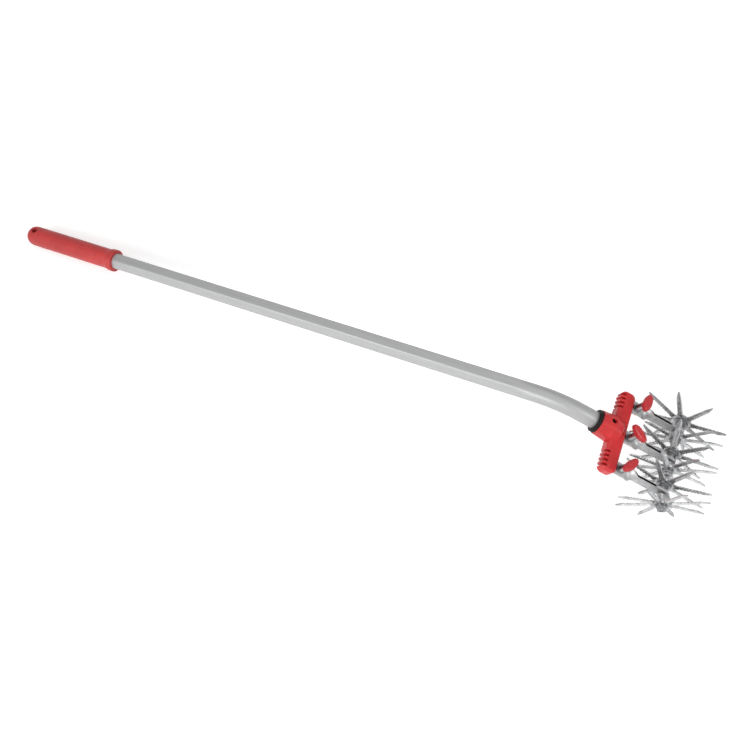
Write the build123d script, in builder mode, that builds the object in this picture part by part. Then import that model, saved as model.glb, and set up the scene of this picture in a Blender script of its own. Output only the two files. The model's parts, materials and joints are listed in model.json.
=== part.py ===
"""Long-handled rotary cultivator: bent steel handle, moulded head, three arms and six spinning star wheels.

Millimetres, +Z up. The tool lies on the ground, on its star wheels and the end of its grip, with the grip
towards -X and the wheels towards +X. The origin is under the middle of the whole tool.
"""

import os
from math import asin, atan2, cos, degrees, hypot, pi, radians, sin, tan

from build123d import *

# Handle tube
TUBE_D = 25.0
TUBE_WALL = 1.5
TUBE_START = 30.0
STRAIGHT_LENGTH = 863.5
BEND_ANGLE = 22.5
BEND_RADIUS = 170.0
BEND_TO_MOUTH = 27.0

# Hand grip
GRIP_D = 32.0
GRIP_LENGTH = 173.0
GRIP_END_RADIUS = 14.0
GRIP_LIP_D = 35.5
GRIP_LIP_LENGTH = 7.0
GRIP_FLARE_LENGTH = 8.0
HANG_HOLE_D = 9.5
HANG_HOLE_FROM_END = 17.0

# Head housing, measured back from the axle along the arms
MOUTH_TO_AXLE = 116.0
BAR_CENTRE = 85.0
BAR_DEPTH = 22.0
BAR_BEYOND_ARMS = 5.0
BAR_HEIGHT = 16.0
BAR_END_RADIUS = 8.0
BAR_TOP_FILLET = 4.0
BAR_EDGE_FILLET = 1.5
SOCKET_MOUTH_D = 34.0
SOCKET_ROOT_D = 38.0
SOCKET_CREST_D = 33.0
SOCKET_NOSE_D = 12.0
SOCKET_NOSE_BACK = 2.5
SOCKET_SIDES = 8
SOCKET_CORNER_SHARE = 0.3
TUBE_IN_SOCKET = 26.0
GROOVE_COUNT = 4
GROOVE_PITCH = 6.8
GROOVE_WIDTH = 3.6
GROOVE_DEPTH = 6.5
GROOVE_FROM_END = 7.0
LUG_WIDTH = 12.8
LUG_CORNER_RADIUS = 5.0

# Collar at the socket mouth
COLLAR_D = 33.0
COLLAR_LENGTH = 5.0
COLLAR_SLEEVE_D = 29.0
COLLAR_SLEEVE_LENGTH = 10.0
COLLAR_CHAMFER = 1.0

# Screw that pins the tube in the socket
SCREW_FROM_MOUTH = 15.0
SCREW_SIDE_ANGLE = 11.0
SCREW_HEAD_D = 7.0
SCREW_HEAD_H = 2.2
SCREW_SHANK_D = 4.0
SCREW_SHANK_LENGTH = 7.0
SCREW_RECESS_D = 7.8
SCREW_RECESS_DEPTH = 4.6
SCREW_DRIVE_W = 1.2
SCREW_DRIVE_L = 4.6
SCREW_DRIVE_DEPTH = 1.2

# Arms
ARM_PITCH = 49.0
ARM_WIDTH = 18.0
ARM_THICKNESS = 3.0
ARM_ROOT_IN_BAR = 12.0
TWIST_START = 57.0
TWIST_END = 43.0
TWIST_STEPS = 6
ARM_EYE_D = 10.0

# Thumbscrews that clamp the arms on the lugs
STUD_TO_AXLE = 66.0
STUD_D = 6.0
STUD_SHOULDER_D = 9.0
STUD_SHOULDER_LENGTH = 16.0
STUD_IN_KNOB = 6.0
STUD_BELOW_NUT = 1.0
WASHER_D = 12.0
WASHER_THICKNESS = 1.5
NUT_FLATS = 10.0
NUT_HEIGHT = 5.0
KNOB_LENGTH = 27.0
KNOB_WIDTH = 12.0
KNOB_RIM_HEIGHT = 5.5
KNOB_CROWN_HEIGHT = 1.4
KNOB_CROWN_INSET = 1.4
KNOB_NECK_D = 10.0
KNOB_NECK_HEIGHT = 3.0
KNOB_NOTCHES = 20
KNOB_NOTCH_D = 1.6
KNOB_TURNS = (86.0, 145.0, 59.0)

# Axles and what runs on them
JOURNAL_D = 7.0
INNER_TOE = 7.0
INNER_OFFSET = 13.0
OUTER_TOE = 15.0
OUTER_OFFSET = 17.0
HUB_LENGTH = 12.0
HUB_D = 13.0
HUB_FLANGE_D = 19.0
HUB_FLANGE_THICKNESS = 2.0
HUB_LIP_D = 15.5
HUB_LIP_THICKNESS = 1.2
SPACER_D = 11.0
CAP_D = 11.0
CAP_HEIGHT = 3.4
CAP_WALL = 1.4
CAP_DIMPLE_D = 4.0
CAP_DIMPLE_DEPTH = 0.8

# Star wheels
TINE_COUNT = 8
TIP_RADIUS = 61.5
STAR_RING_D = 28.0
STAR_RING_THICKNESS = 3.0
TINE_ROOT_RADIUS = 12.0
TINE_ROOT_WIDTH = 8.0
TINE_TAPER = 0.25
TINE_TIP_LENGTH = 12.0
TINE_TIP_WIDTH = 1.6
TINE_THICKNESS = 1.7
TINE_FOLD_ANGLE = 28.0
TINE_SPLAY = 1.0
TOOTH_COUNT = 7
TOOTH_DEPTH = 1.0
TOOTH_START_RADIUS = 18.0
WHEEL_PHASES = (27.0, 14.0, 15.0, 27.0, 31.0, 34.5)

# Clearances
RUNNING_FIT = 0.08
SEAT_GAP = 0.05
SLIDE_GAP = 0.15
BOLT_GAP = 0.3

# Where the tool touches the ground: its lowest tines and the end of its grip
tube_r = TUBE_D / 2
grip_r = GRIP_D / 2
ring_r = STAR_RING_D / 2
bend = radians(BEND_ANGLE)
side = Vector(0, 1, 0)
forward = Vector(1, 0, 0)
ARMS = {"left": 1, "centre": 0, "right": -1}
wheel_sides = [(hand, outward) for hand in ARMS.values() for outward in (1, -1)]


def turned(plane, angle):
    """The same plane with its x direction turned about its normal."""
    x_dir = plane.x_dir * cos(radians(angle)) + plane.y_dir * sin(radians(angle))
    return Plane(origin=plane.origin, x_dir=x_dir, z_dir=plane.z_dir)


def cant(hand, outward):
    """Distance of a wheel from its arm and its toe-in, both greater for the two outermost wheels."""
    if hand * outward == 1:
        return OUTER_OFFSET, radians(OUTER_TOE)
    return INNER_OFFSET, radians(INNER_TOE)


def journal_plane(eye, arm_axis, hand, outward):
    """Plane at an arm's eye whose normal runs out along one canted journal, with x towards the front."""
    toe = cant(hand, outward)[1]
    normal = side * (outward * cos(toe)) + arm_axis * sin(toe)
    return Plane(origin=eye, x_dir=forward - normal * normal.dot(forward), z_dir=normal)


def wheel_plane(eye, arm_axis, hand, outward, phase):
    """Plane in the middle of a star wheel, with x along one of its tines, raised from the front by its phase."""
    place = journal_plane(eye, arm_axis, hand, outward).offset(cant(hand, outward)[0])
    return turned(place, -outward * phase)


def tine_tips(arm_axis):
    """Tips of every wheel's tines as seen from its own axle."""
    tips = []
    for (hand, outward), phase in zip(wheel_sides, WHEEL_PHASES):
        wheel = wheel_plane(Vector(0, 0, 0), arm_axis, hand, outward, phase)
        for i in range(TINE_COUNT):
            turn = 2 * pi * i / TINE_COUNT
            lean = TINE_SPLAY if i % 2 else -TINE_SPLAY
            tips.append(wheel.from_local_coords(Vector(TIP_RADIUS * cos(turn), TIP_RADIUS * sin(turn), lean)))
    return tips


bend_to_axle = BEND_TO_MOUTH + MOUTH_TO_AXLE
axle_forward = STRAIGHT_LENGTH + BEND_RADIUS * sin(bend) + bend_to_axle * cos(bend)
axle_drop = BEND_RADIUS * (1 - cos(bend)) + bend_to_axle * sin(bend)
grip_to_axle = hypot(axle_forward - GRIP_END_RADIUS, axle_drop - grip_r)
axle_slope = atan2(axle_drop - grip_r, axle_forward - GRIP_END_RADIUS)
axle_height = TIP_RADIUS
for _ in range(4):
    rise = axle_slope + asin(axle_height / grip_to_axle)
    droop = bend - rise
    arm_axis = Vector(cos(droop), 0, -sin(droop))
    axle_height = -min(tip.Z for tip in tine_tips(arm_axis))

# Middle of the tool between the end of the grip and the foremost tines
front_reach = max(tip.X for tip in tine_tips(arm_axis))
axle_from_grip = axle_forward * cos(rise) + axle_drop * sin(rise)
grip_end_behind = GRIP_END_RADIUS + (grip_r - GRIP_END_RADIUS) * sin(rise) - GRIP_END_RADIUS * cos(rise)
grip_x = -(axle_from_grip + front_reach - grip_end_behind) / 2
grip_z = grip_r * cos(rise) - GRIP_END_RADIUS * sin(rise)
axle_x = grip_x + axle_from_grip

# Directions and working planes
handle_axis = Vector(cos(rise), 0, sin(rise))
head_up = Vector(sin(droop), 0, cos(droop))
handle_plane = Plane(origin=(grip_x, 0, grip_z), x_dir=handle_axis, z_dir=(-sin(rise), 0, cos(rise)))
head_plane = Plane(origin=(axle_x, 0, axle_height), x_dir=arm_axis, z_dir=head_up)
profile_plane = Plane(origin=handle_plane.origin, x_dir=handle_axis, z_dir=-side)

os.makedirs("parts", exist_ok=True)


def in_head(x, y, z):
    """Point given along the arms, across the head and up from the axle."""
    return head_plane.from_local_coords(Vector(x, y, z))


def across_arm(x, y=0.0, z=0.0, turn=0.0):
    """Plane square to the arms, turned about them."""
    x_dir = side * cos(radians(turn)) + head_up * sin(radians(turn))
    return Plane(origin=in_head(x, y, z), x_dir=x_dir, z_dir=arm_axis)


def finish(builder, name):
    """Labels a finished piece and writes it."""
    builder.part.label = name
    export_step(builder.part, f"parts/{name}.step")


# Handle tube: one straight run, one bend, one short run into the socket
with BuildPart() as handle_tube:
    with BuildLine(profile_plane) as tube_path:
        straight = Line((TUBE_START, 0), (STRAIGHT_LENGTH, 0))
        arc = JernArc(straight @ 1, straight % 1, BEND_RADIUS, -BEND_ANGLE)
        Line(arc @ 1, arc @ 1 + (arc % 1) * (BEND_TO_MOUTH + TUBE_IN_SOCKET))
    with BuildSketch(Plane(tube_path.line @ 0, x_dir=side, z_dir=handle_axis)):
        Circle(tube_r)
        Circle(tube_r - TUBE_WALL, mode=Mode.SUBTRACT)
    sweep()

socket_x = -MOUTH_TO_AXLE
bar_front = -BAR_CENTRE + BAR_DEPTH / 2
bar_back = -BAR_CENTRE - BAR_DEPTH / 2
screw_angle = radians(SCREW_SIDE_ANGLE)
screw_out = side * sin(screw_angle) + head_up * cos(screw_angle)
socket_taper = (SOCKET_ROOT_D - SOCKET_MOUTH_D) / 2 / (bar_back - socket_x)
screw_seat_r = SOCKET_MOUTH_D / 2 + socket_taper * SCREW_FROM_MOUTH - SCREW_RECESS_DEPTH
screw_seat = in_head(socket_x + SCREW_FROM_MOUTH, 0, 0) + screw_out * screw_seat_r
screw_plane = Plane(origin=screw_seat, x_dir=arm_axis, z_dir=screw_out)
with BuildPart() as pinned_tube:
    add(handle_tube.part)
    with BuildSketch(screw_plane):
        Circle(SCREW_SHANK_D / 2 + SEAT_GAP)
    extrude(amount=-SCREW_SHANK_LENGTH, mode=Mode.SUBTRACT)
finish(pinned_tube, "handle_tube")

# Hand grip: straight turned form with a round end and a flared lip
lip_start = GRIP_LENGTH - GRIP_LIP_LENGTH
with BuildPart() as handle_grip:
    with BuildSketch(profile_plane):
        with BuildLine():
            nose = JernArc((0, grip_r - GRIP_END_RADIUS), (0, 1), GRIP_END_RADIUS, -90)
            hold = Line(nose @ 1, (lip_start - GRIP_FLARE_LENGTH, grip_r))
            flare = Spline(hold @ 1, (lip_start, GRIP_LIP_D / 2), tangents=((1, 0), (1, 0)))
            Polyline(flare @ 1, (GRIP_LENGTH, GRIP_LIP_D / 2), (GRIP_LENGTH, tube_r + SEAT_GAP))
            Polyline(
                (GRIP_LENGTH, tube_r + SEAT_GAP),
                (TUBE_START, tube_r + SEAT_GAP),
                (TUBE_START, 0),
                (0, 0),
                nose @ 0,
            )
        make_face()
    revolve(axis=Axis(profile_plane.origin, handle_axis))
    lip_edges = handle_grip.edges().filter_by(GeomType.CIRCLE).group_by(Axis(profile_plane.origin, handle_axis))
    fillet(lip_edges[-1].sort_by(SortBy.RADIUS)[-1], radius=GRIP_LIP_LENGTH / 4)
    with BuildSketch(handle_plane):
        with Locations((HANG_HOLE_FROM_END, 0)):
            Circle(HANG_HOLE_D / 2)
    extrude(amount=GRIP_D, both=True, mode=Mode.SUBTRACT)
finish(handle_grip, "handle_grip")

# Socket of the head: eight flats with round corners, widening to the crossbar and closing in front of it
socket_sections = (
    (socket_x, SOCKET_MOUTH_D),
    (bar_back, SOCKET_ROOT_D),
    (-BAR_CENTRE, SOCKET_CREST_D),
    (bar_front - SOCKET_NOSE_BACK, SOCKET_NOSE_D),
)
with BuildPart() as socket:
    for x, flats in socket_sections:
        with BuildSketch(across_arm(x)) as section:
            RegularPolygon(flats / 2, SOCKET_SIDES, major_radius=False, rotation=180 / SOCKET_SIDES)
            fillet(section.vertices(), flats * SOCKET_CORNER_SHARE)
    loft(ruled=True)

# Head housing: crossbar with grooved ends, socket, and a lug under each arm
arm_half = ARM_THICKNESS / 2
lug_top = -arm_half - SEAT_GAP
lug_front = -TWIST_START - SLIDE_GAP
lug_length = lug_front - bar_front + BAR_DEPTH / 2
bar_bottom = -BAR_HEIGHT / 2
bar_length = 2 * ARM_PITCH + ARM_WIDTH + 2 * BAR_BEYOND_ARMS
nut_top = bar_bottom + NUT_HEIGHT + 2 * SEAT_GAP
groove_spots = [
    (bar_back, hand * (bar_length / 2 - GROOVE_FROM_END - i * GROOVE_PITCH))
    for hand in (1, -1)
    for i in range(GROOVE_COUNT)
]
with BuildPart() as head_housing:
    with BuildSketch(head_plane.offset(bar_bottom)):
        with Locations((-BAR_CENTRE, 0)):
            RectangleRounded(BAR_DEPTH, bar_length, BAR_END_RADIUS)
    extrude(amount=BAR_HEIGHT)
    fillet(head_housing.faces().sort_by(Axis(head_plane.origin, head_up))[-1].edges(), BAR_TOP_FILLET)
    fillet(head_housing.faces().sort_by(Axis(head_plane.origin, head_up))[0].edges(), BAR_EDGE_FILLET)
    with BuildSketch(head_plane.offset(bar_bottom)):
        with Locations(*groove_spots):
            Rectangle(2 * GROOVE_DEPTH, GROOVE_WIDTH)
    extrude(amount=BAR_HEIGHT, mode=Mode.SUBTRACT)
    with BuildSketch(head_plane.offset(bar_bottom + BAR_EDGE_FILLET)):
        for hand in ARMS.values():
            with Locations((lug_front - lug_length / 2, hand * ARM_PITCH)):
                RectangleRounded(lug_length, LUG_WIDTH, LUG_CORNER_RADIUS)
    extrude(amount=lug_top - bar_bottom - BAR_EDGE_FILLET)
    add(socket.part)
    with BuildSketch(across_arm(socket_x)):
        Circle(tube_r + SEAT_GAP)
    extrude(amount=TUBE_IN_SOCKET + SEAT_GAP, mode=Mode.SUBTRACT)
    with BuildSketch(across_arm(socket_x)):
        Circle(COLLAR_SLEEVE_D / 2 + SEAT_GAP)
    extrude(amount=COLLAR_SLEEVE_LENGTH + SEAT_GAP, mode=Mode.SUBTRACT)
    with BuildSketch(screw_plane):
        Circle(SCREW_RECESS_D / 2)
    extrude(amount=2 * SCREW_RECESS_DEPTH, mode=Mode.SUBTRACT)
    with BuildSketch(screw_plane):
        Circle(SCREW_SHANK_D / 2 + SEAT_GAP)
    extrude(amount=-SCREW_SHANK_LENGTH, mode=Mode.SUBTRACT)
    with BuildSketch(across_arm(bar_front)):
        with Locations(*[(hand * ARM_PITCH, 0) for hand in ARMS.values()]):
            Rectangle(ARM_WIDTH + 2 * SLIDE_GAP, ARM_THICKNESS + 2 * SEAT_GAP)
    extrude(amount=-ARM_ROOT_IN_BAR - SLIDE_GAP, mode=Mode.SUBTRACT)
    with BuildSketch(head_plane.offset(bar_bottom)):
        with Locations(*[(-STUD_TO_AXLE, hand * ARM_PITCH) for hand in ARMS.values()]):
            Circle(STUD_D / 2 + BOLT_GAP)
    extrude(amount=BAR_HEIGHT, mode=Mode.SUBTRACT)
    with BuildSketch(head_plane.offset(bar_bottom)):
        with Locations(*[(-STUD_TO_AXLE, hand * ARM_PITCH) for hand in ARMS.values()]):
            RegularPolygon(NUT_FLATS / 2 + SEAT_GAP, 6, major_radius=False)
    extrude(amount=nut_top - bar_bottom, mode=Mode.SUBTRACT)
finish(head_housing, "head_housing")

# Collar: a flanged bush round the tube at the socket mouth
with BuildPart() as socket_collar:
    with BuildSketch(across_arm(socket_x)):
        Circle(COLLAR_D / 2)
        Circle(tube_r + SEAT_GAP, mode=Mode.SUBTRACT)
    extrude(amount=-COLLAR_LENGTH)
    back_rim = socket_collar.edges().filter_by(GeomType.CIRCLE).sort_by(SortBy.RADIUS)[-2:]
    chamfer(back_rim.sort_by(Axis(head_plane.origin, arm_axis))[0], COLLAR_CHAMFER)
    with BuildSketch(across_arm(socket_x)):
        Circle(COLLAR_SLEEVE_D / 2)
        Circle(tube_r + SEAT_GAP, mode=Mode.SUBTRACT)
    extrude(amount=COLLAR_SLEEVE_LENGTH)
finish(socket_collar, "socket_collar")

# Screw in the side of the socket
with BuildPart() as head_screw:
    with BuildSketch(screw_plane):
        Circle(SCREW_HEAD_D / 2)
    extrude(amount=SCREW_HEAD_H)
    fillet(head_screw.edges().sort_by(Axis(screw_seat, screw_out))[-1], SCREW_HEAD_H / 3)
    with BuildSketch(screw_plane):
        Circle(SCREW_SHANK_D / 2)
    extrude(amount=-SCREW_SHANK_LENGTH)
    with BuildSketch(screw_plane.offset(SCREW_HEAD_H - SCREW_DRIVE_DEPTH)):
        Rectangle(SCREW_DRIVE_L, SCREW_DRIVE_W)
        Rectangle(SCREW_DRIVE_W, SCREW_DRIVE_L)
    extrude(amount=SCREW_HEAD_H, mode=Mode.SUBTRACT)
finish(head_screw, "head_screw")

# Washers, one under each stud's shoulder
washer_bottom = arm_half + SEAT_GAP
for arm_name, hand in ARMS.items():
    with BuildPart() as washer:
        with BuildSketch(head_plane.offset(washer_bottom)):
            with Locations((-STUD_TO_AXLE, hand * ARM_PITCH)):
                Circle(WASHER_D / 2)
                Circle(STUD_D / 2 + BOLT_GAP, mode=Mode.SUBTRACT)
        extrude(amount=WASHER_THICKNESS)
    finish(washer, f"washer_{arm_name}")

# Captive nuts in the lugs
stud_spots = [(-STUD_TO_AXLE, hand * ARM_PITCH) for hand in ARMS.values()]
nut_bottom = nut_top - SEAT_GAP - NUT_HEIGHT
with BuildPart() as captive_nuts:
    with BuildSketch(head_plane.offset(nut_bottom)):
        with Locations(*stud_spots):
            RegularPolygon(NUT_FLATS / 2, 6, major_radius=False)
            Circle(STUD_D / 2 + RUNNING_FIT, mode=Mode.SUBTRACT)
    extrude(amount=NUT_HEIGHT)
finish(captive_nuts, "captive_nuts")

# Tine: a serrated blade folded along its middle, lying along x with the fold line up
tine_half = TINE_ROOT_WIDTH / 2
tooth_end = TIP_RADIUS - TINE_TIP_LENGTH
tooth_pitch = (tooth_end - TOOTH_START_RADIUS) / TOOTH_COUNT


def blade_half_width(r):
    """Half width of the blade before its teeth are cut."""
    along = (r - TINE_ROOT_RADIUS) / (TIP_RADIUS - TINE_ROOT_RADIUS)
    return tine_half * (1 - TINE_TAPER * along)


teeth = []
for i in range(TOOTH_COUNT):
    crest = TOOTH_START_RADIUS + i * tooth_pitch
    notch = crest + tooth_pitch / 2
    teeth.append((crest, blade_half_width(crest)))
    teeth.append((notch, blade_half_width(notch) - TOOTH_DEPTH))
shoulder = (tooth_end, blade_half_width(tooth_end))
edge = [(TINE_ROOT_RADIUS, tine_half), *teeth, shoulder, (TIP_RADIUS, TINE_TIP_WIDTH / 2)]
outline = edge + [(x, -y) for x, y in reversed(edge)]
fold_drop = tine_half * tan(radians(TINE_FOLD_ANGLE))
web = TINE_THICKNESS / cos(radians(TINE_FOLD_ANGLE))
ridge = (fold_drop + web) / 2
with BuildPart() as tine:
    with BuildSketch(Plane.YZ.offset(TINE_ROOT_RADIUS)):
        Polygon(
            (0, ridge),
            (tine_half, ridge - fold_drop),
            (tine_half, ridge - fold_drop - web),
            (0, ridge - web),
            (-tine_half, ridge - fold_drop - web),
            (-tine_half, ridge - fold_drop),
            align=None,
        )
    extrude(amount=TIP_RADIUS - TINE_ROOT_RADIUS)
    with BuildSketch(Plane.XY.offset(-TINE_ROOT_WIDTH)):
        Polygon(*outline, align=None)
    extrude(amount=2 * TINE_ROOT_WIDTH, mode=Mode.INTERSECT)

# Star: a ring with eight tines, splayed to either side in turn
splay_angle = degrees(asin(TINE_SPLAY / (TIP_RADIUS - ring_r)))
splay_axis = Axis((ring_r, 0, 0), (0, 1, 0))
with BuildPart() as star:
    with BuildSketch(Plane.XY.offset(-STAR_RING_THICKNESS / 2)):
        Circle(ring_r)
        Circle(HUB_D / 2 + SEAT_GAP, mode=Mode.SUBTRACT)
    extrude(amount=STAR_RING_THICKNESS)
    for turn, lean in ((0, splay_angle), (360 / TINE_COUNT, -splay_angle)):
        with PolarLocations(0, TINE_COUNT // 2, start_angle=turn):
            add(tine.part.rotate(splay_axis, lean))

# Hub: a turned bush with a flange on one side of the star and a rolled lip on the other
ring_half = STAR_RING_THICKNESS / 2
with BuildPart() as hub:
    with BuildSketch(Plane.XY.offset(-HUB_LENGTH / 2)):
        Circle(HUB_D / 2)
    extrude(amount=HUB_LENGTH)
    with BuildSketch(Plane.XY.offset(-ring_half - SEAT_GAP)):
        Circle(HUB_FLANGE_D / 2)
    extrude(amount=-HUB_FLANGE_THICKNESS)
    with BuildSketch(Plane.XY.offset(ring_half + SEAT_GAP)):
        Circle(HUB_LIP_D / 2)
    extrude(amount=HUB_LIP_THICKNESS)
    with BuildSketch(Plane.XY.offset(-HUB_LENGTH / 2)):
        Circle(JOURNAL_D / 2 + RUNNING_FIT)
    extrude(amount=HUB_LENGTH, mode=Mode.SUBTRACT)

# Six wheels, two to an arm, numbered from left to right
for number, ((hand, outward), phase) in enumerate(zip(wheel_sides, WHEEL_PHASES), start=1):
    place = wheel_plane(in_head(0, hand * ARM_PITCH, 0), arm_axis, hand, outward, phase)
    with BuildPart(place) as star_wheel:
        add(star.part)
    finish(star_wheel, f"star_wheel_{number}")
    with BuildPart(place) as wheel_hub:
        add(hub.part)
    finish(wheel_hub, f"wheel_hub_{number}")

# Arms with their axles, spacers and caps
hub_reach = HUB_LENGTH / 2 + SLIDE_GAP
cap_bore = CAP_HEIGHT - CAP_WALL
arm_back = bar_front - ARM_ROOT_IN_BAR
slot_half = STUD_D / 2 + BOLT_GAP
for arm_name, hand in ARMS.items():
    y = hand * ARM_PITCH
    eye = in_head(0, y, 0)
    with BuildPart() as arm:
        with BuildSketch(head_plane.offset(-arm_half)):
            with Locations(((arm_back - TWIST_START) / 2, y)):
                Rectangle(-TWIST_START - arm_back, ARM_WIDTH)
            with Locations(((arm_back - STUD_TO_AXLE) / 2, y)):
                Rectangle(-STUD_TO_AXLE - arm_back, 2 * slot_half, mode=Mode.SUBTRACT)
            with Locations((-STUD_TO_AXLE, y)):
                Circle(slot_half, mode=Mode.SUBTRACT)
        extrude(amount=ARM_THICKNESS)
        for i in range(TWIST_STEPS + 1):
            share = i / TWIST_STEPS
            with BuildSketch(across_arm(-TWIST_START + share * (TWIST_START - TWIST_END), y, 0, 90 * share)):
                Rectangle(ARM_WIDTH, ARM_THICKNESS)
        loft()
        with BuildSketch(Plane(origin=in_head(0, y - arm_half, 0), x_dir=arm_axis, z_dir=side)):
            with Locations((-TWIST_END / 2, 0)):
                Rectangle(TWIST_END, ARM_WIDTH)
            Circle(ARM_WIDTH / 2)
            Circle(ARM_EYE_D / 2 + SEAT_GAP, mode=Mode.SUBTRACT)
        extrude(amount=ARM_THICKNESS)
    finish(arm, f"arm_{arm_name}")

    with BuildPart() as axle:
        with BuildSketch(Plane(origin=in_head(0, y - arm_half, 0), x_dir=arm_axis, z_dir=side)):
            Circle(ARM_EYE_D / 2)
        extrude(amount=ARM_THICKNESS)
        for outward in (1, -1):
            with BuildSketch(journal_plane(eye, arm_axis, hand, outward)):
                Circle(JOURNAL_D / 2)
            extrude(amount=cant(hand, outward)[0] + hub_reach + cap_bore - SEAT_GAP)
    finish(axle, f"axle_{arm_name}")

    with BuildPart() as spacers:
        for outward in (1, -1):
            offset_out, toe = cant(hand, outward)
            spacer_start = (arm_half + SEAT_GAP + SPACER_D / 2 * sin(toe)) / cos(toe)
            with BuildSketch(journal_plane(eye, arm_axis, hand, outward).offset(spacer_start)):
                Circle(SPACER_D / 2)
                Circle(JOURNAL_D / 2 + SEAT_GAP, mode=Mode.SUBTRACT)
            extrude(amount=offset_out - hub_reach - spacer_start)
    finish(spacers, f"spacers_{arm_name}")

    with BuildPart() as caps:
        for outward in (1, -1):
            cap_plane = journal_plane(eye, arm_axis, hand, outward).offset(cant(hand, outward)[0] + hub_reach)
            with BuildSketch(cap_plane):
                Circle(CAP_D / 2)
            extrude(amount=CAP_HEIGHT)
            with BuildSketch(cap_plane):
                Circle(JOURNAL_D / 2 + SEAT_GAP)
            extrude(amount=cap_bore, mode=Mode.SUBTRACT)
            with BuildSketch(cap_plane.offset(CAP_HEIGHT)):
                Circle(CAP_DIMPLE_D / 2)
            extrude(amount=-CAP_DIMPLE_DEPTH, mode=Mode.SUBTRACT)
    finish(caps, f"axle_caps_{arm_name}")

# Thumbscrews: a shouldered stud moulded into a flat oval knob with a notched rim
shoulder_start = washer_bottom + WASHER_THICKNESS + SEAT_GAP
knob_start = shoulder_start + STUD_SHOULDER_LENGTH
rim_start = knob_start + KNOB_NECK_HEIGHT
stud_start = nut_bottom - STUD_BELOW_NUT
knob_a = KNOB_LENGTH / 2
knob_b = KNOB_WIDTH / 2
for (arm_name, hand), knob_turn in zip(ARMS.items(), KNOB_TURNS):
    stud_plane = Plane(origin=in_head(-STUD_TO_AXLE, hand * ARM_PITCH, 0), x_dir=arm_axis, z_dir=head_up)
    with BuildPart() as stud:
        with BuildSketch(stud_plane.offset(stud_start)):
            Circle(STUD_D / 2)
        extrude(amount=knob_start + STUD_IN_KNOB - stud_start)
        with BuildSketch(stud_plane.offset(shoulder_start)):
            Circle(STUD_SHOULDER_D / 2)
        extrude(amount=STUD_SHOULDER_LENGTH)
    finish(stud, f"stud_{arm_name}")

    knob_plane = turned(stud_plane, knob_turn)
    notch_turns = [radians(360 * (i + 0.5) / KNOB_NOTCHES) for i in range(KNOB_NOTCHES)]
    with BuildPart() as knob:
        with BuildSketch(knob_plane.offset(rim_start)):
            Ellipse(knob_a, knob_b)
            with Locations(*[(knob_a * cos(t), knob_b * sin(t)) for t in notch_turns]):
                Circle(KNOB_NOTCH_D / 2, mode=Mode.SUBTRACT)
        extrude(amount=KNOB_RIM_HEIGHT)
        with BuildSketch(knob_plane.offset(rim_start + KNOB_RIM_HEIGHT)):
            Ellipse(knob_a - KNOB_CROWN_INSET, knob_b - KNOB_CROWN_INSET)
        extrude(amount=KNOB_CROWN_HEIGHT, taper=40)
        with BuildSketch(knob_plane.offset(rim_start)):
            Circle(KNOB_NECK_D / 2)
        extrude(amount=-KNOB_NECK_HEIGHT, taper=10)
        with BuildSketch(knob_plane.offset(knob_start)):
            Circle(STUD_D / 2 + SEAT_GAP)
        extrude(amount=STUD_IN_KNOB + SEAT_GAP, mode=Mode.SUBTRACT)
    finish(knob, f"knob_{arm_name}")
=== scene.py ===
import json
from math import atan2, cos, hypot, pi, radians, sin

import bpy
from mathutils import Matrix, Vector


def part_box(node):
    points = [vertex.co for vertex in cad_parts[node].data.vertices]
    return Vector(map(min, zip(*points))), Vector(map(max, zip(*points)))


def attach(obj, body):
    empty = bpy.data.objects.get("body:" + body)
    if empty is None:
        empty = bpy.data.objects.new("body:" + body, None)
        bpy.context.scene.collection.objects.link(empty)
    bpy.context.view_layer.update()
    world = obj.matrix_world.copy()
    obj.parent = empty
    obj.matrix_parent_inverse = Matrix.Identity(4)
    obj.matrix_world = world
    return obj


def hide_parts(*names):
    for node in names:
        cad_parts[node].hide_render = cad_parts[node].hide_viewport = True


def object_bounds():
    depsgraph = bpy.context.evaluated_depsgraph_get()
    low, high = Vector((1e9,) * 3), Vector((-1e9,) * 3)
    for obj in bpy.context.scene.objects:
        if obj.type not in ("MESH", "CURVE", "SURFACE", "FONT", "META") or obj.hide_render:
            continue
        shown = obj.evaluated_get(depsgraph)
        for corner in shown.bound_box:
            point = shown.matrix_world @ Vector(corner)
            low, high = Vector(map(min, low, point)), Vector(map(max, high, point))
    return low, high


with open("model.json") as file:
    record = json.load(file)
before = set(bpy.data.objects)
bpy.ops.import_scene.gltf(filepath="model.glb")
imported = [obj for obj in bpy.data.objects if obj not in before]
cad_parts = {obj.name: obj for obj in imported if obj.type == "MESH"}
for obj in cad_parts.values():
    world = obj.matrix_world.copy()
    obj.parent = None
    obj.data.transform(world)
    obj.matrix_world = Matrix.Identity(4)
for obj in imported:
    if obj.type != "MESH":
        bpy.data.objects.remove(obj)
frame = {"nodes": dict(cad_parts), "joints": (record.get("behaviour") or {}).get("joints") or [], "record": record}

cad_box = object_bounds()
scene = bpy.context.scene
MM = 0.001

# Camera of the photograph, placed from the closed end of the grip
PHOTO_PIXELS = 751
SENSOR_WIDTH = 36.0
FOCAL_PIXELS = 724.23
CAMERA_FROM_GRIP = Vector((0.80673, -0.49693, 0.99019))
CAMERA_FORWARD = Vector((-0.15913, 0.436489, -0.885525))
CAMERA_RIGHT = Vector((0.921727, 0.387025, 0.025135))

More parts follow.
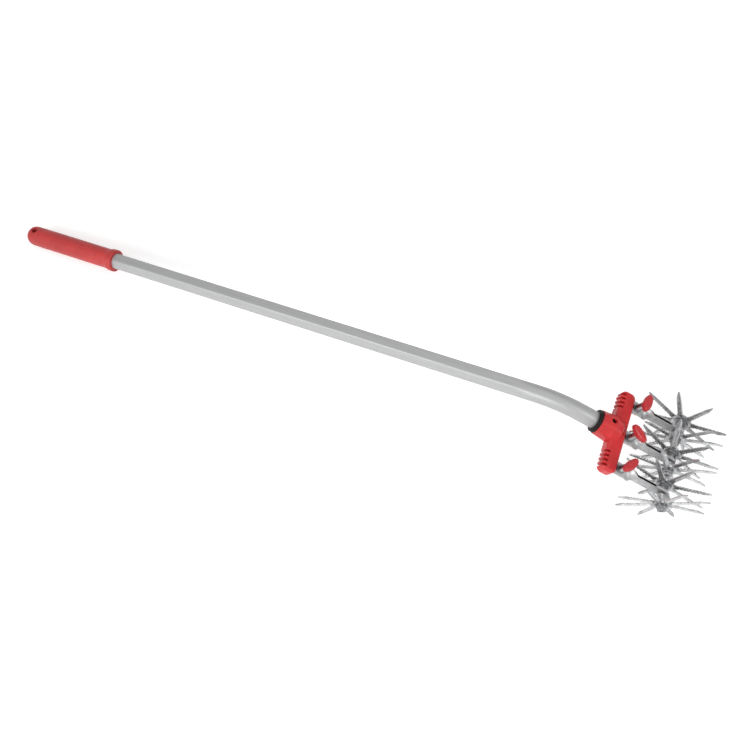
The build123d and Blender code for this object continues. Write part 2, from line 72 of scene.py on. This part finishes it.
# Colours, linear
GRIP_RED = (0.462, 0.041, 0.040)
HEAD_RED = (0.565, 0.030, 0.033)
KNOB_RED = (0.505, 0.036, 0.042)
TUBE_GREY = (0.418, 0.420, 0.423)
ZINC = (0.62, 0.625, 0.632)
GALVANISED = (0.58, 0.585, 0.59)
FASTENER = (0.50, 0.503, 0.51)
DARK_STEEL = (0.035, 0.034, 0.034)
# Near-black for the arms' upward-facing edges: bare sheared steel, and painted shade on the edge
SHEARED_EDGE_SHADE = (0.010, 0.010, 0.010)
EDGE_TINT = (0.35, 0.35, 0.36)
COLLAR = (0.010, 0.007, 0.006)
FLOOR = (0.90, 0.90, 0.90)
WHITE = (1, 1, 1)

# Lamps: place, point faced, width and depth in metres, watts
LAMPS = {
    "key": ((-0.4, -1.85, 1.3), (0.1, 0, 0), (2.2, 0.9), 38),
    "rim": ((1.7, -0.4, 1.3), (0.4, 0, 0.05), (0.9, 0.9), 10),
    "top": ((0.0, 0.6, 2.4), (0, 0, 0), (3.0, 2.0), 16),
}
WORLD_STRENGTH = 0.35

# Tube: a rounded hexagon from the grip to just before the bend, and round from there on
TUBE_RADIUS = 12.5 * MM
BORE_RADIUS = 11 * MM
TUBE_START = 30 * MM
GRIP_MOUTH = 173 * MM
STRAIGHT_LENGTH = 863.5 * MM
BEND_RADIUS = 170 * MM
BEND_ANGLE = radians(22.5)
PAST_BEND = 53 * MM
FLATS = 6
FLAT_HALF = pi / FLATS
CORNER_RADIUS = 3 * MM
CORNER_FROM_AXIS = 10.57 * MM
FLATS_START = 4 * MM
FLATS_FADE = (831 * MM, 862 * MM)
FLAT_SHARES = (-1, -0.9, -0.4, 0.4, 0.9, 1)
CORNER_SHARES = (-0.6, -0.2, 0.2, 0.6)
STRAIGHT_STEPS = 18
FADE_STEPS = 6
BEND_STEPS = 16
TUBE_PLACES = "along_and_around"

# Arms: distances back from the axle's middle between which the near-black edge (bare sheared steel and painted
# shade) comes in and goes out
EDGE_COMES = (50 * MM, 45 * MM)
EDGE_GOES = (16 * MM, 12 * MM)
EDGE_FACES_UP = (0.6, 0.85)

# Studio: a plain pale floor that curves up into a wall all round
FLOOR_RADIUS = 3.5
COVE_RADIUS = 1.5
WALL_HEIGHT = 3.0
COVE_STEPS = 12
STUDIO_SIDES = 96
FLOOR_GLOW = 0.38

# Sockets of a mix node for colours
MIX_FACTOR, MIX_UNDER, MIX_OVER, MIX_RESULT = 0, 6, 7, 2


class Surface:
    """One procedural material: a principled shader and the nodes that feed it."""

    def __init__(self, name, colour, metallic, roughness):
        self.material = bpy.data.materials.new(name)
        self.material.use_nodes = True
        self.tree = self.material.node_tree
        self.shader = self.tree.nodes["Principled BSDF"]
        self.hold("Base Color", (*colour, 1))
        self.hold("Metallic", metallic)
        self.hold("Roughness", roughness)
        self.coords = self.add("ShaderNodeTexCoord").outputs["Object"]

    def hold(self, socket, value):
        """Sets one of the shader's sockets to a value."""
        self.shader.inputs[socket].default_value = value

    def feed(self, socket, output):
        """Links an output to one of the shader's sockets."""
        self.tree.links.new(output, self.shader.inputs[socket])

    def add(self, kind, **values):
        """Adds a node and sets its inputs, by name, to values or to other nodes' outputs."""
        node = self.tree.nodes.new(kind)
        for key, value in values.items():
            if isinstance(value, bpy.types.NodeSocket):
                self.tree.links.new(value, node.inputs[key])
            else:
                node.inputs[key].default_value = value
        return node

    def calc(self, operation, first, second):
        """Arithmetic on two outputs."""
        node = self.add("ShaderNodeMath")
        node.operation = operation
        self.tree.links.new(first, node.inputs[0])
        self.tree.links.new(second, node.inputs[1])
        return node.outputs[0]

    def dot(self, vector, direction):
        """Component of a vector output along a fixed direction."""
        node = self.add("ShaderNodeVectorMath")
        node.operation = "DOT_PRODUCT"
        self.tree.links.new(vector, node.inputs[0])
        node.inputs[1].default_value = direction
        return node.outputs["Value"]

    def noise(self, scale, detail, stretch=(1, 1, 1)):
        """Noise in the surface's own metres, with features about one over scale across."""
        place = self.add("ShaderNodeMapping", Vector=self.coords, Scale=stretch).outputs[0]
        node = self.add("ShaderNodeTexNoise", Vector=place, Scale=scale, Detail=detail)
        return node.outputs[0]

    def ramp(self, factor, low, high, start=0.0, end=1.0):
        """Colours between two stops."""
        node = self.add("ShaderNodeValToRGB", Fac=factor)
        first, last = node.color_ramp.elements
        first.position, first.color = start, (*low, 1)
        last.position, last.color = end, (*high, 1)
        return node.outputs[0]

    def spread(self, factor, low, high, start=0.0, end=1.0):
        """A number between two limits."""
        node = self.add("ShaderNodeMapRange", Value=factor)
        for index, value in enumerate((start, end, low, high), start=1):
            node.inputs[index].default_value = value
        return node.outputs[0]

    def blend(self, factor, under, colour):
        """Lays a colour over an output, as far as a factor says."""
        node = self.add("ShaderNodeMix")
        node.data_type = "RGBA"
        self.tree.links.new(factor, node.inputs[MIX_FACTOR])
        self.tree.links.new(under, node.inputs[MIX_UNDER])
        node.inputs[MIX_OVER].default_value = (*colour, 1)
        return node.outputs[MIX_RESULT]

    def relief(self, height, depth, strength=1.0, edge=0.0):
        """Bump of a given depth, over edges that look rounded by a given radius."""
        bump = self.add("ShaderNodeBump", Height=height, Strength=strength, Distance=depth)
        if edge:
            rounded = self.add("ShaderNodeBevel", Radius=edge)
            self.tree.links.new(rounded.outputs[0], bump.inputs["Normal"])
        self.feed("Normal", bump.outputs[0])


def shade(colour, factor):
    """A colour made darker or lighter."""
    return tuple(channel * factor for channel in colour)


def faded(colour):
    """A colour as it looks where it is scuffed."""
    return tuple(0.7 * channel + 0.16 for channel in colour)


def dress(surface, *nodes):
    """Gives CAD nodes a surface."""
    for name in nodes:
        node = frame["nodes"][name]
        node.data.materials.clear()
        node.data.materials.append(surface.material)


def moulded(name, colour, roughness, grain, gloss=0.35):
    """Moulded plastic: spark-eroded grain, slow colour drift and faint scuffs."""
    surface = Surface(name, colour, 0.0, roughness)
    surface.hold("Specular IOR Level", gloss)
    drift = surface.ramp(surface.noise(scale=40, detail=4), low=shade(colour, 0.86),
                         high=shade(colour, 1.10), start=0.3, end=0.7)
    scratches = surface.noise(scale=260, detail=5, stretch=(1, 0.25, 0.25))
    scuffs = surface.spread(scratches, low=0.0, high=0.30, start=0.62, end=0.80)
    surface.feed("Base Color", surface.blend(scuffs, drift, faded(colour)))
    wear = surface.noise(scale=90, detail=4)
    surface.feed("Roughness", surface.spread(wear, low=roughness - 0.07, high=roughness + 0.10))
    surface.relief(surface.noise(grain, detail=2), depth=0.12 * MM, strength=0.5, edge=0.5 * MM)
    return surface


def plated(name, colour, roughness):
    """Plated steel: cloudy patches, duller spots and painted shade darkening the hollows."""
    surface = Surface(name, colour, 1.0, roughness)
    surface.hold("Specular Tint", (*EDGE_TINT, 1))
    clouds = surface.ramp(surface.noise(scale=120, detail=5), low=shade(colour, 0.72),
                          high=shade(colour, 1.12), start=0.32, end=0.68)
    # Painted shade: the colour darkens towards 12% of itself where ambient occlusion finds hollows
    hollows = surface.add("ShaderNodeAmbientOcclusion", Distance=6 * MM).outputs["AO"]
    painted_hollow_shade = surface.spread(hollows, low=0.75, high=0.0, start=0.25, end=0.85)
    surface.feed("Base Color", surface.blend(painted_hollow_shade, clouds, shade(colour, 0.12)))
    wear = surface.noise(scale=300, detail=4)
    surface.feed("Roughness", surface.spread(wear, low=roughness - 0.08, high=roughness + 0.12))
    grain = surface.noise(scale=700, detail=3)
    surface.relief(grain, depth=0.05 * MM, strength=0.4, edge=0.15 * MM)
    return surface


def smooth_mesh(name, points, faces):
    """A mesh with smooth shading."""
    mesh = bpy.data.meshes.new(name)
    mesh.from_pydata(points, [], faces)
    mesh.polygons.foreach_set("use_smooth", [True] * len(faces))
    return mesh


# Plastic
dress(moulded("grip_red", GRIP_RED, roughness=0.45, grain=1500), "handle_grip")
dress(moulded("head_red", HEAD_RED, roughness=0.30, grain=1100), "head_housing")
knobs = moulded("knob_red", KNOB_RED, roughness=0.30, grain=1300)
dress(knobs, "knob_left", "knob_centre", "knob_right")
collar = moulded("collar_black", COLLAR, roughness=0.55, grain=1200, gloss=0.2)
dress(collar, "socket_collar")

# Tube
side = Vector((0, 1, 0))
mounts = {mount["name"]: mount for mount in frame["record"]["mounts"]}
handle_axis = Vector(mounts["hand_grip"]["axis"])
handle_up = handle_axis.cross(side)
grip_end = Vector(mounts["hand_grip"]["pos_m"]) - handle_axis * GRIP_MOUTH / 2


def tube_outline():
    """Angle and distance from the axis of each point round the rounded hexagon."""
    apothem = CORNER_FROM_AXIS * cos(FLAT_HALF) + CORNER_RADIUS
    flat_end = atan2(CORNER_FROM_AXIS * sin(FLAT_HALF), apothem)
    points = []
    for flat in range(FLATS):
        middle = 2 * FLAT_HALF * flat
        for share in FLAT_SHARES:
            points.append((middle + share * flat_end, apothem / cos(share * flat_end)))
        for share in CORNER_SHARES:
            across = CORNER_RADIUS * sin(share * FLAT_HALF)
            out = CORNER_FROM_AXIS + CORNER_RADIUS * cos(share * FLAT_HALF)
            points.append((middle + FLAT_HALF + atan2(across, out), hypot(across, out)))
    return points


def tube_stations():
    """Middle, upward direction and share of the hexagon of each ring, from the grip to the head."""
    start, end = FLATS_FADE
    first = GRIP_MOUTH + FLATS_START
    runs = [TUBE_START, GRIP_MOUTH]
    runs += [first + step * (start - first) / STRAIGHT_STEPS for step in range(STRAIGHT_STEPS + 1)]
    runs += [start + step * (end - start) / FADE_STEPS for step in range(1, FADE_STEPS + 1)]
    for run in runs:
        share = 0.0 if run <= GRIP_MOUTH else min(1.0, (end - run) / (end - start))
        eased = share * share * (3 - 2 * share)
        yield grip_end + handle_axis * run, handle_up, eased
    bend_start = grip_end + handle_axis * STRAIGHT_LENGTH
    for step in range(BEND_STEPS + 1):
        angle = BEND_ANGLE * step / BEND_STEPS
        up = handle_up * cos(angle) + handle_axis * sin(angle)
        middle = bend_start + (up - handle_up) * BEND_RADIUS
        yield middle, up, 0.0
    yield middle + side.cross(up) * PAST_BEND, up, 0.0


def tube_mesh():
    """The tube's outside and bore, closed at both ends, and where each point lies along and around."""
    outline = tube_outline()
    count = len(outline)
    middles, outside, bore = [], [], []
    for middle, up, share in tube_stations():
        spokes = [side * sin(angle) + up * cos(angle) for angle, _ in outline]
        reach = [TUBE_RADIUS + (hexagon - TUBE_RADIUS) * share for _, hexagon in outline]
        middles.append(middle)
        outside.append([middle + spoke * length for spoke, length in zip(spokes, reach)])
        bore.append([middle + spoke * BORE_RADIUS for spoke in spokes])
    rings = outside + bore[::-1]
    runs = [0.0]
    for before, after in zip(middles, middles[1:]):
        runs.append(runs[-1] + (after - before).length)
    runs += runs[::-1]
    girth = 2 * pi * TUBE_RADIUS / count
    faces, places = [], []
    for ring in range(len(rings)):
        following = (ring + 1) % len(rings)
        for index in range(count):
            corners = (ring, index), (following, index), (following, index + 1), (ring, index + 1)
            faces.append([station * count + step % count for station, step in corners])
            for station, step in corners:
                places += [runs[station], step * girth]
    mesh = smooth_mesh("drawn_tube", [point for ring in rings for point in ring], faces)
    mesh.uv_layers.new(name=TUBE_PLACES).data.foreach_set("uv", places)
    mesh.update()
    return mesh


tube = Surface("tube_steel", TUBE_GREY, 0.4, 0.46)
drawn = tube.add("ShaderNodeUVMap")
drawn.uv_map = TUBE_PLACES
tube.coords = drawn.outputs["UV"]
lines = tube.noise(scale=1200, detail=3, stretch=(0.012, 1, 1))
streaks = tube.ramp(lines, low=shade(TUBE_GREY, 0.93), high=shade(TUBE_GREY, 1.06), start=0.3, end=0.7)
tube.feed("Base Color", streaks)
tube.feed("Roughness", tube.spread(tube.noise(scale=60, detail=4), low=0.40, high=0.54))
tube.relief(lines, depth=0.005 * MM)
drawn_tube = bpy.data.objects.new("drawn_tube", tube_mesh())
drawn_tube.data.materials.append(tube.material)
scene.collection.objects.link(drawn_tube)
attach(drawn_tube, "tool")
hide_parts("handle_tube")

# Arms: galvanised bar whose upward-facing edges are painted near-black where it stands on edge, as bare sheared
# steel and as painted shade
joints = {joint["name"]: joint for joint in frame["joints"]}
arm_axis = Vector(joints["arm_centre_slide"]["axis"])
head_up = Vector(joints["clamp_centre_lift"]["axis"])
axle_low, axle_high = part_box("axle_centre")
axle = (Vector(axle_low) + Vector(axle_high)).dot(arm_axis) / 2
arms = Surface("galvanised_steel", GALVANISED, 0.7, 0.42)
arms.hold("Specular Tint", (*EDGE_TINT, 1))
spangle = arms.add("ShaderNodeTexVoronoi", Vector=arms.coords, Scale=170.0)
flakes = arms.ramp(spangle.outputs["Color"], low=shade(GALVANISED, 0.78), high=shade(GALVANISED, 1.08))
along = arms.dot(arms.coords, arm_axis)
comes, goes = [[axle - back for back in limits] for limits in (EDGE_COMES, EDGE_GOES)]
past_twist = arms.spread(along, 0.0, 1.0, *comes)
before_eye = arms.spread(along, 1.0, 0.0, *goes)
normal = arms.add("ShaderNodeNewGeometry").outputs["Normal"]
# Faces whose normal points up get the near-black colour: painted shade on the upper edge as well as bare steel
edge_up = arms.spread(arms.dot(normal, head_up), 0.0, 1.0, *EDGE_FACES_UP)
sheared_shade = arms.calc("MULTIPLY", arms.calc("MULTIPLY", past_twist, before_eye), edge_up)
arms.feed("Base Color", arms.blend(sheared_shade, flakes, SHEARED_EDGE_SHADE))
arms.feed("Roughness", arms.spread(arms.noise(scale=200, detail=4), low=0.36, high=0.54))
arms.relief(arms.noise(scale=500, detail=3), depth=0.06 * MM, strength=0.4, edge=0.3 * MM)
dress(arms, "arm_left", "arm_centre", "arm_right")

# Wheels and fasteners
wheels = range(1, 7)
dress(plated("zinc_steel", ZINC, roughness=0.26), *[f"star_wheel_{wheel}" for wheel in wheels])
turned = plated("fastener_steel", FASTENER, roughness=0.32)
dress(turned, "captive_nuts", *[f"wheel_hub_{wheel}" for wheel in wheels])
for piece in ("axle", "spacers", "axle_caps", "stud", "washer"):
    dress(turned, *[f"{piece}_{arm}" for arm in ("left", "centre", "right")])
dress(plated("screw_steel", DARK_STEEL, roughness=0.45), "head_screw")

# Light
for name, (place, target, size, watts) in LAMPS.items():
    light = bpy.data.lights.new(name, "AREA")
    light.shape = "RECTANGLE"
    light.size, light.size_y = size
    light.energy = watts
    lamp = bpy.data.objects.new(name, light)
    lamp.location = place
    lamp.rotation_euler = (Vector(target) - Vector(place)).to_track_quat("-Z", "Y").to_euler()
    scene.collection.objects.link(lamp)
world = bpy.data.worlds.new("studio")
world.use_nodes = True
background = world.node_tree.nodes["Background"]
background.inputs["Color"].default_value = (*WHITE, 1)
background.inputs["Strength"].default_value = WORLD_STRENGTH
scene.world = world


def studio_mesh():
    """The floor's middle, and rings up the cove and the wall."""
    bends = [pi / 2 * step / COVE_STEPS for step in range(COVE_STEPS + 1)]
    profile = [(FLOOR_RADIUS + COVE_RADIUS * sin(bend), COVE_RADIUS * (1 - cos(bend)))
               for bend in bends]
    profile.append((FLOOR_RADIUS + COVE_RADIUS, WALL_HEIGHT))
    turns = [2 * pi * step / STUDIO_SIDES for step in range(STUDIO_SIDES)]
    points = [(radius * cos(turn), radius * sin(turn), height)
              for radius, height in profile for turn in turns]
    faces = [list(range(STUDIO_SIDES))]
    for ring in range(len(profile) - 1):
        for step in range(STUDIO_SIDES):
            corners = (ring, step), (ring + 1, step), (ring + 1, step + 1), (ring, step + 1)
            faces.append([level * STUDIO_SIDES + place % STUDIO_SIDES for level, place in corners])
    mesh = smooth_mesh("floor", points, faces)
    mesh.update()
    return mesh


# Floor: white to the camera, and in reflections, where nothing shades it
floor = bpy.data.objects.new("floor", studio_mesh())
scene.collection.objects.link(floor)
ground = Surface("floor", FLOOR, 0.0, 0.9)
ground.hold("Specular IOR Level", 0.0)
paths = ground.add("ShaderNodeLightPath").outputs
seen = ground.calc("MAXIMUM", paths["Is Camera Ray"], paths["Is Glossy Ray"])
seen = ground.calc("MAXIMUM", seen, paths["Is Transmission Ray"])
ground.hold("Emission Color", (*WHITE, 1))
ground.feed("Emission Strength", ground.spread(seen, 0.0, FLOOR_GLOW))
floor.data.materials.append(ground.material)

# Camera
camera_data = bpy.data.cameras.new("camera")
camera_data.sensor_fit = "HORIZONTAL"
camera_data.sensor_width = SENSOR_WIDTH
camera_data.lens = SENSOR_WIDTH * FOCAL_PIXELS / PHOTO_PIXELS
camera = bpy.data.objects.new("camera", camera_data)
scene.collection.objects.link(camera)
back = -CAMERA_FORWARD.normalized()
right = (CAMERA_RIGHT - back * CAMERA_RIGHT.dot(back)).normalized()
pose = Matrix((right, back.cross(right), back)).transposed().to_4x4()
pose.translation = Vector((cad_box[0][0], 0, 0)) + CAMERA_FROM_GRIP
camera.matrix_world = pose
scene.camera = camera
scene.view_settings.view_transform = "Standard"
